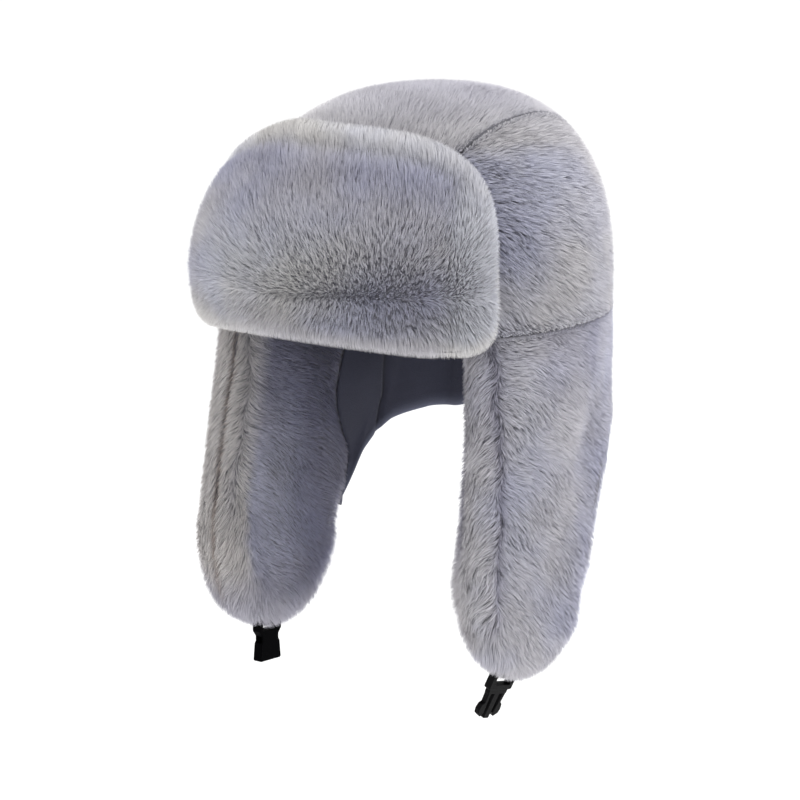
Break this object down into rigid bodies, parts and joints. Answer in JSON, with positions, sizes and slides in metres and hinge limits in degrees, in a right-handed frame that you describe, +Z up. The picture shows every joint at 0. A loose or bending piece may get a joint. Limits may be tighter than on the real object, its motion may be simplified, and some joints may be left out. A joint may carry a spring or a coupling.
{
  "type": "winter hat with ear flaps",
  "caption": "Deep-pile grey faux-fur winter hat with a turned-up front flap, hanging ear flaps, a neck band, a dark plush lining and an open side-release buckle.",
  "frame": {"origin": "middle of the head opening, level with the seam where the flaps hang from the crown", "axes": "+Z up, -Y the way the wearer looks, +X to the wearer's left"},
  "size_m": [0.2364, 0.2543, 0.3476],
  "materials": {
    "fur": "deep soft pile, light tips over a darker base",
    "flap_fur": "deep clumped pile",
    "lining": "short matt plush",
    "webbing": "narrow woven tape",
    "buckle": "fine moulded grain"
  },
  "bodies": {
    "root": {"crown_top": "fur", "crown_side_left": "fur", "crown_side_right": "fur", "crown_lining": "lining", "front_flap": "fur", "ear_flap_left": "flap_fur", "ear_flap_right": "flap_fur", "neck_band": "fur", "neck_lining": "lining", "tab_left": "webbing", "tab_right": "webbing", "buckle_plug": "buckle", "buckle_socket": "buckle"}
  },
  "joints": []
}
